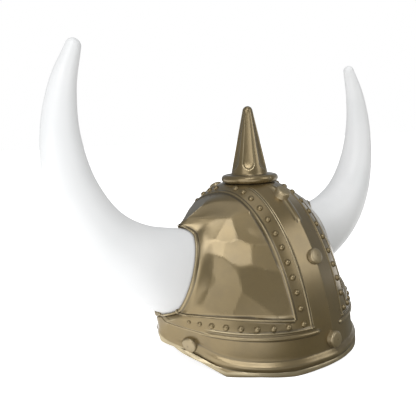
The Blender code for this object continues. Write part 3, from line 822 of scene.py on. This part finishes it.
def relief_lines(height, level):
    """Beads and grooves that follow the rows and the columns of an upper sheet.

    height is the distance over the lower bead, level the same at the upper bead's row.
    """
    over_upper = height - level
    outer = X_MM > BAND_EDGE / MM - 0.1
    out = thick_bead(height, X_MM, SIDE_SHARE)
    thin = ease((X_MM - THIN_FROM) / THIN_LONG) * (1.0 - ease((SIDE_SHARE - BEADS_TO) / BEADS_OUT))
    out += thin * line(height, THIN_BEAD)
    out += outer * (line(over_upper, UPPER_BEAD) + line(over_upper, UPPER_GROOVE))
    inner = line(X_MM, INNER_BEAD) + line(X_MM, INNER_GROOVE)
    out += ease((height - UPRIGHT_FROM) / 1.2) * inner
    out += ease((over_upper - OUTER_FROM) / 1.5) * line(X_MM, OUTER_BEAD)
    return out


RIB_END, RIB_HALF, RIB_SLOPE, RIB_HEIGHT = 108.5, 3.0, 1.4, 0.9     # mm, the end over the bead


def relief_rib(x, height):
    """The narrow rib on the crease, from the flange down past the upper rivet."""
    reach = np.hypot(x, np.minimum(height - RIB_END, 0.0))
    return RIB_HEIGHT * (1.0 - ease((reach - RIB_HALF) / RIB_SLOPE))


print("deepest line:", min(bead[1] for bead in (HORN_GROOVE, UPPER_GROOVE, INNER_GROOVE)), "mm")

# %% Facets of the hammered panels
FACET_GAIN, FACET_FLOOR = 1.35, -2.2      # strength, and the deepest point in mm
FACET_CAP, SOFT = 0.25, 0.2               # highest point and its softening, in mm
CRISP_UNDER = 0.35                        # mm under the highest point: a facet is flat from here
FULL = 0.97                               # share of the relief from which it counts as whole
NEAR_FACETS = (
    # across the panel, up it, depth in mm, tilt across and up in degrees
    (0.46, 0.60, -1.13, 0.3, -0.8), (0.60, 0.68, -0.93, 1.3, -2.1),
    (0.69, 0.52, -0.84, 0.1, 0.6), (0.44, 0.43, -0.82, -1.0, 1.7),
    (0.71, 0.38, -0.98, 2.6, 0.8), (0.55, 0.22, -0.85, 3.2, 0.6),
    (0.17, 0.57, -1.52, -0.7, -2.8), (0.26, 0.19, -0.81, -0.5, -1.2),
    (0.17, 0.35, -0.76, -2.1, 1.6), (0.26, 0.79, -0.41, 1.4, 1.0),
    (0.40, 0.06, -0.95, -1.6, -1.6), (0.78, 0.17, -0.55, 0.5, 3.8),
)


def shuffled(seed):
    """The same facets moved about, so that no two panels of the helmet are alike."""
    chance = np.random.default_rng(seed)
    return [(s + chance.uniform(-0.06, 0.06), min(max(t + chance.uniform(-0.05, 0.05), 0.05), 0.95),
             depth * chance.uniform(0.8, 1.2), a + chance.uniform(-1, 1), b + chance.uniform(-1, 1))
            for s, t, depth, a, b in NEAR_FACETS]


FACETS = {("front", -1): NEAR_FACETS, ("front", 1): shuffled(3),
          ("back", -1): shuffled(7), ("back", 1): shuffled(12)}
print("facets:", sum(len(facets) for facets in FACETS.values()))


def relief_facets(side, facets, fade):
    """Depth down to the lowest of the facets' planes, which never rise far over the panel."""
    across, upward = np.gradient(side, axis=1), np.gradient(side, axis=0)
    normal = np.cross(across, upward)
    normal /= np.linalg.norm(normal, axis=2, keepdims=True)
    normal *= np.sign(normal[len(normal) // 2, SIDE // 2, 0])
    heights = []
    for s, t, depth, tilt_across, tilt_up in facets:
        row = len(LEVEL_V) + int(np.argmin(np.abs(PANEL_PARTS - t)))
        column = int(np.argmin(np.abs(SIDE_PARTS - s)))
        point, out = side[row, column], normal[row, column]
        a = across[row, column] / np.linalg.norm(across[row, column])
        b = np.cross(out, a) * np.sign(np.cross(out, a)[2])
        plane = out + a * math.tan(math.radians(tilt_across)) + b * math.tan(math.radians(tilt_up))
        plane /= np.linalg.norm(plane)
        drop = (point + out * depth * MM - side) @ plane / np.maximum(normal @ plane, 0.5)
        heights.append(drop / MM)              # how far the plane lies over the smooth panel
    lowest = np.maximum(FACET_GAIN * np.min(heights, axis=0), FACET_FLOOR)
    depth = -SOFT * np.logaddexp(-lowest / SOFT, -FACET_CAP / SOFT) * fade
    return depth, (fade > FULL) & (lowest < FACET_CAP - CRISP_UNDER)

# %% The relief of a whole sheet
FADE_FROM, FADE_LONG = 4.0, 14.0          # mm off the lip's foot: the facets fade out
START_FROM, START_LONG = 0.6, 1.2         # mm over the upper bead: they start
SEAT_FADE = 4.0 * MM                      # height over which the relief ends under the flange


def upper_relief(grid, facets):
    """Heights of an upper sheet, and 1 where a point is well inside a facet."""
    height = along(grid, 0)
    level = height[len(LEVEL_V)][None, :]
    out = relief_lines(height, level)
    out[:, :FLAT] += relief_rib(X_MM[:, :FLAT], height[:, :FLAT])
    panel = slice(FLAT, FLAT + SIDE)
    run = along(grid[:, panel], 1)
    from_foot = run[:, -1:] - run
    over_upper = (height - level)[:, panel]
    fade = ease((from_foot - FADE_FROM) / FADE_LONG) * ease((over_upper - START_FROM) / START_LONG)
    depth, inside = relief_facets(grid[:, panel], facets, fade)
    out[:, panel] += line(from_foot, FOOT_GROOVE) + depth
    faceted = np.zeros(out.shape)
    faceted[:, panel] = inside
    return out * ease((SEAT_Z - 1.0 * MM - grid[:, :, 2]) / SEAT_FADE), faceted


def lower_relief(grid):
    """The lower half of the thick bead."""
    under = along(grid[::-1], 0)[::-1]
    return thick_bead(under, X_MM[:, :COLUMNS_LOW], SIDE_SHARE[:, :COLUMNS_LOW])

# %% One sheet
def sheet(name, grid, heights, faceted):
    """A primitive grid whose points are put in their places, both sides of the crease.

    The relief and the facets are given for the left half and the right half.
    """
    rows, columns = grid.shape[:2]
    made = added(bpy.ops.mesh.primitive_grid_add, name, x_subdivisions=2 * (columns - 1),
                 y_subdivisions=rows - 1, size=2.0)
    places = points_of(made)
    column = np.rint((places[:, 0] + 1.0) * (columns - 1)).astype(int) - (columns - 1)
    row = np.rint((places[:, 1] + 1.0) * (rows - 1) / 2).astype(int)
    right = (column >= 0).astype(int)
    column = np.abs(column)
    points = grid[row, column]
    points[:, 0] *= np.where(right, 1.0, -1.0)
    points[:, 1] += CROWN_Y
    set_points(made, points)
    store(made, "relief", np.stack(heights)[right, row, column] * MM)
    store(made, "faceted", np.stack(faceted)[right, row, column])
    print(name, "has", len(places), "points")
    return made

# %% Four sheets, joined
sheets, grids = [], []
for end in ("front", "back"):
    halves = [upper, lower] if end == "front" else [
        [[twin_behind(point) for point in row] for row in rows] for rows in (upper, lower)]
    high, low = (as_array(rows) for rows in halves)
    grids.append(high)
    reliefs = [upper_relief(high, FACETS[end, side]) for side in (-1, 1)]
    sheets.append(sheet(f"{end}_upper", high, *zip(*reliefs)))
    sheets.append(sheet(f"{end}_lower", low, [lower_relief(low)] * 2,
                        [np.zeros(low.shape[:2])] * 2))
shell = joined(sheets, "shell_moulding")
face_outwards(shell)
shell_surface = surface_of(shell)

# %% A wall, and the relief on both of its skins
WALL = 2 * MM
outer = len(shell.data.vertices)                 # the outer skin's points come first
normals = read(shell.data.vertices, "normal", 3)
relief = read(shell.data.attributes["relief"].data, "value", 1)
wall = shell.modifiers.new("wall", "SOLIDIFY")
wall.thickness, wall.offset = WALL, -1.0
choose(shell)
bpy.ops.object.modifier_apply(modifier="wall")
places = points_of(shell)
places[:outer] += normals * relief
places[outer:] += normals * np.minimum(relief + 0.4 * WALL, 0.0)     # follows the deep places
set_points(shell, places)
smooth(shell, 50)
print("points of the outer skin:", outer)

# %% Crisp facets
in_facet = read(shell.data.attributes["faceted"].data, "value", 1)[:, 0]
in_facet[outer:] = 0.0
rounded = [bool(in_facet[list(face.vertices)].min() < 0.5) for face in shell.data.polygons]
shell.data.polygons.foreach_set("use_smooth", rounded)
print("faces shaded flat inside the facets:", rounded.count(False))

# %% [markdown]
# ## Studs
# Small round studs run up the middle of each upright band and along the level one. They are
# moulded in one with the shell. One of them is made from a sphere, cut off below and pressed
# a little flat, and copies of it are set on the surface, each turned to face outwards.

# %% One stud
stud = added(bpy.ops.mesh.primitive_uv_sphere_add, "band_stud", segments=16, ring_count=12,
             radius=3.1 * MM)
edit(stud)
bpy.ops.mesh.bisect(plane_co=(0.0, 0.0, -0.5 * MM), plane_no=(0.0, 0.0, 1.0), clear_inner=True,
                    use_fill=True)
bpy.ops.mesh.select_all(action="SELECT")
bpy.ops.transform.resize(value=(1.0, 1.0, 0.8), center_override=(0.0, 0.0, 0.0))
bpy.ops.mesh.normals_make_consistent(inside=False)
leave_edit()
smooth(stud)
print("faces of a stud:", len(stud.data.polygons))

# %% Places of the studs on one quarter
STUD_X = 30.5 * MM                   # off the crease, and their heights over the lower bead
UPRIGHT_STUDS = (9.8, 24.5, 39.5, 53.5, 68.0, 83.0, 97.5, 113.0, 127.5, 142.0, 154.5, 166.0)
LEVEL_STUDS = (                      # mm from the corner's stud, then size
    (15.2, 1.0), (29.3, 1.0), (44.3, 1.0), (59.0, 1.0), (72.6, 0.97), (86.0, 0.9),
    (97.2, 0.72), (107.5, 0.6),
)
LEVEL_STUD_V = 9.2                   # mm over the lower bead


def at_distance(path, distance):
    """Point of a row of points at a distance from its start, in mm."""
    run = np.concatenate([[0.0], np.cumsum(np.linalg.norm(np.diff(path, axis=0), axis=1))]) / MM
    return np.array([np.interp(distance, run, path[:, axis]) for axis in range(3)])


def stud_places(grid):
    """Point, outward direction and size of each stud on a quarter's grid of points."""
    column = int(np.argmin(np.abs(FLAT_X - STUD_X)))
    level = [at_distance(grid[:, index], LEVEL_STUD_V) for index in range(column, FLAT + SIDE)]
    places = [(at_distance(grid[:, column], v), 1.0) for v in UPRIGHT_STUDS]
    places += [(at_distance(np.array(level), v), size) for v, size in LEVEL_STUDS]
    found = []
    for point, size in places:
        near, normal, _, _ = shell_surface.find_nearest(Vector(point) + CROWN)
        found.append((near, normal, size))
    return found


print("studs on a quarter:", len(UPRIGHT_STUDS) + len(LEVEL_STUDS))

# %% Copies of the stud, joined into one piece
studs = []
for grid in grids:
    for point, normal, size in stud_places(grid):
        for side in (1.0, -1.0):
            turn = Vector((normal.x * side, normal.y, normal.z)).to_track_quat("Z", "Y")
            place = Matrix.Translation((point.x * side, point.y, point.z)) @ turn.to_matrix().to_4x4()
            studs.append(copied(stud, place @ Matrix.Scale(size, 4)))
bpy.data.objects.remove(stud)
print("studs:", len(studs))
studs = joined(studs, "band_studs")

# %% [markdown]
# ## Rivets
# Ten large false rivets hold nothing: they are round buttons with a soft edge and a nearly
# flat face, plugged into the crease and the brim. One is turned from a cylinder by bevelling
# its upper edge and raising its face a little, and each copy is laid on a solid rivet of the
# model, whose own points give its axis and its top.

# %% One rivet
RIVET_RADIUS, RIVET_EDGE, RIVET_DEEP, RIVET_CROWN = 7.9 * MM, 1.9 * MM, 7.5 * MM, 0.9 * MM
FACE_RINGS = (0.8, 0.75, 0.67, 0.5, 0.3)          # size of each ring of the face to the last one
JUST_UNDER = -0.1 * MM                            # tells what lies in the upper face
rivet = added(bpy.ops.mesh.primitive_cylinder_add, "rivet", vertices=48, radius=RIVET_RADIUS,
              depth=RIVET_DEEP, location=(0.0, 0.0, -RIVET_DEEP / 2))
edit(rivet)
form = bmesh.from_edit_mesh(rivet.data)
for edge in form.edges:
    edge.select_set(all(vertex.co.z > JUST_UNDER for vertex in edge.verts))
form.select_flush_mode()
bmesh.update_edit_mesh(rivet.data)
bpy.ops.mesh.bevel(offset=RIVET_EDGE, segments=6, profile=0.5, affect="EDGES")
form = bmesh.from_edit_mesh(rivet.data)
for face in form.faces:
    face.select_set(face.normal.z > 0.99 and face.calc_center_median().z > JUST_UNDER)
for share in FACE_RINGS:
    bpy.ops.mesh.extrude_region_move(TRANSFORM_OT_translate={"value": (0.0, 0.0, 0.0)})
    bpy.ops.transform.resize(value=(share, share, 1.0), center_override=(0.0, 0.0, 0.0))
for vertex in bmesh.from_edit_mesh(rivet.data).verts:
    off_axis = vertex.co.xy.length / RIVET_RADIUS
    vertex.co.z += RIVET_CROWN * (1.0 - off_axis ** 2) if vertex.co.z > -RIVET_EDGE else 0.0
leave_edit()
smooth(rivet)
rivet_top = points_of(rivet)[:, 2].max()
print("a rivet is", round((rivet_top - points_of(rivet)[:, 2].min()) / MM, 2), "mm long")

# %% Copies of it on the solid rivets
def axis_of(node):
    """Top and outward direction of a solid rivet, from the spread of its points."""
    places = points_of(bpy.data.objects[node])
    middle = places.mean(axis=0)
    spread, axes = np.linalg.eigh(np.cov((places - middle).T))
    odd = 0 if spread[1] - spread[0] > spread[2] - spread[1] else 2    # unlike the other two
    out = axes[:, odd]
    inside = np.array((0.0, CROWN_Y, 40 * MM))                         # a point in the helmet
    out = out * np.sign(out @ (middle - inside))
    return middle + out * ((places - middle) @ out).max(), out


UPPER_LIFT = 3.6 * MM             # the upper ones stand on the crease's rib
rivets = []
for node in sorted(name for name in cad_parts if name.startswith("rivet_")):
    top, out = axis_of(node)
    top = top + out * (UPPER_LIFT if "upper" in node else 0.0)
    turn = Vector(out).to_track_quat("Z", "Y").to_matrix().to_4x4()
    copy = copied(rivet, Matrix.Translation(Vector(top)) @ turn
                  @ Matrix.Translation((0.0, 0.0, -rivet_top)))
    copy.name = copy.data.name = f"{node}_head"
    rivets.append((copy, node))
bpy.data.objects.remove(rivet)
print("rivets:", len(rivets))

# %% [markdown]
# ## Spike
# The crown carries a blunt cone on a flange with a thick round edge. Six long flutes are
# sunk into the cone, each with a round lower end. It is a turned part, so its outline is
# made as a stack of rings, and then the points inside the flutes are pressed inwards. The
# first ring leaves a pinhole at the tip, and the last one leaves another under the spigot.

# %% Outline of the spike, from its tip down
FLANGE_RADIUS, FLANGE_EDGE, FLANGE_Z = 26.0 * MM, 4.25 * MM, BEAD_Z + 138.0 * MM
CONE_RADIUS, TIP_RADIUS, SPIKE_TOP = 19.7 * MM, 5.3 * MM, BEAD_Z + 213.7 * MM
CONE_FOOT = FLANGE_Z + 3.4 * MM
CONE_LOW = (18.8 * MM, CONE_FOOT + 5.0 * MM)      # the straight flank ends here
FILLET = ((19.1, 3.2), (19.5, 1.5), (20.0, 0.6), (20.9, 0.1), (22.0, 0.0))    # mm, over the foot
SPIGOT_RADIUS, SPIGOT_DEEP = 6.0 * MM, 9.0 * MM   # under the flange, in the shell's hole
SPIKE_SIDES = 180
tip_z = SPIKE_TOP - TIP_RADIUS
outline = [(TIP_RADIUS * math.cos(turn), tip_z + TIP_RADIUS * math.sin(turn))
           for turn in np.radians(np.linspace(88, 10, 10))]
tip_foot = outline[-1]
outline += [(mix(tip_foot[0], CONE_LOW[0], s), mix(tip_foot[1], CONE_LOW[1], s))
            for s in np.linspace(0.0, 1.0, 76)[1:]]
outline += [(radius * MM, CONE_FOOT + rise * MM) for radius, rise in FILLET]
outline += [(FLANGE_RADIUS + FLANGE_EDGE * math.cos(turn), FLANGE_Z + FLANGE_EDGE * math.sin(turn))
            for turn in np.radians(np.linspace(120, -90, 22))]
outline += [(20.0 * MM, FLANGE_Z - FLANGE_EDGE), (SPIGOT_RADIUS, FLANGE_Z - FLANGE_EDGE),
            (SPIGOT_RADIUS, FLANGE_Z - SPIGOT_DEEP), (0.5 * MM, FLANGE_Z - SPIGOT_DEEP)]
print("the spike is", round((outline[0][1] - outline[-1][1]) / MM, 1), "mm long")

# %% Rings, extruded downwards and put on the outline
spike = tube("crown_spike_shape", SPIKE_SIDES, len(outline), -1.0)

# %% Flutes, and the notch of the parting line
FLUTES, FLUTE_TURN = 6, math.radians(-46.0)
FLUTE_LOW, FLUTE_ROUND, FLUTE_TOP = CONE_FOOT + 6.5 * MM, CONE_FOOT + 15.0 * MM, SPIKE_TOP - 3 * MM
FLUTE_HALF, FLUTE_DEPTH = math.radians(22.0), 2.3 * MM
NOTCH_DEPTH = 0.5 * MM            # the parting line's notch in the flange


def flute_depth(azimuth, height):
    """How far a point of the cone is pressed in."""
    if not FLUTE_LOW < height < FLUTE_TOP:
        return 0.0
    pitch = 2 * math.pi / FLUTES
    off = (azimuth - FLUTE_TURN + pitch / 2) % pitch - pitch / 2
    short = max((FLUTE_ROUND - height) / (FLUTE_ROUND - FLUTE_LOW), 0.0)
    half = FLUTE_HALF * math.sqrt(1.0 - short ** 2)
    run = (FLUTE_TOP - height) / (FLUTE_TOP - FLUTE_ROUND)      # 0 at the top: shallower there
    depth = FLUTE_DEPTH * min(0.25 + 0.9 * run, 1.0) * ease(min(run, 0.12) / 0.12)
    inside = max(1.0 - (off / max(half, 1e-4)) ** 2, 0.0)
    return depth * inside ** 0.6 * math.sqrt(1.0 - short ** 2)


def spike_point(x, y, ring):
    """Place of a point of the straight tube on the spike."""
    radius, height = outline[ring]
    azimuth = math.atan2(x, -y)
    radius -= flute_depth(azimuth, height) if radius < CONE_RADIUS else 0.0
    if radius > 24 * MM and abs(azimuth) < 0.6 * math.pi / SPIKE_SIDES:
        radius -= NOTCH_DEPTH
    return (radius * x, radius * y + CROWN_Y, height)


set_points(spike, [spike_point(x, y, -round(z)) for x, y, z in points_of(spike)])
face_outwards(spike)
smooth(spike)
print("the flutes are", round(FLUTE_DEPTH / MM, 1), "mm deep")

# %% [markdown]
# ## Finishing the pieces
# The left horn is the right one mirrored. Then every piece gets its finish, rides on the
# helmet's one body, and takes the place of its solid.

# %% The second horn
left_horn = copied(horn, Matrix())
left_horn.name = left_horn.data.name = "horn_left_shape"
edit(left_horn)
bpy.ops.transform.mirror(constraint_axis=(True, False, False), center_override=(0.0, 0.0, 0.0))
bpy.ops.mesh.normals_make_consistent(inside=False)
leave_edit()
finish(horn, "horn_right", ivory)
finish(left_horn, "horn_left", ivory)

# %% The bronze pieces
# the gain of store_edges makes up for how finely each piece is divided
HANDLED, HANDLED_UP_TO = 0.45, 5.0 * MM           # the rim is rubbed, up to this height over it
places = points_of(shell)
rim = np.array([rim_height(math.atan2(abs(x), abs(y - CROWN_Y))) for x, y, z in places])
store_edges(shell, 2.0, HANDLED * ease((rim + HANDLED_UP_TO - places[:, 2]) / (1.5 * MM)))
finish(shell, "helmet_shell", bronze)
store_edges(studs, 0.5)
finish(studs, None, bronze)
store_edges(spike, 1.5)
finish(spike, "crown_spike", bronze)
for piece, node in rivets:
    store_edges(piece, 1.0)
    finish(piece, node, rivet_bronze)
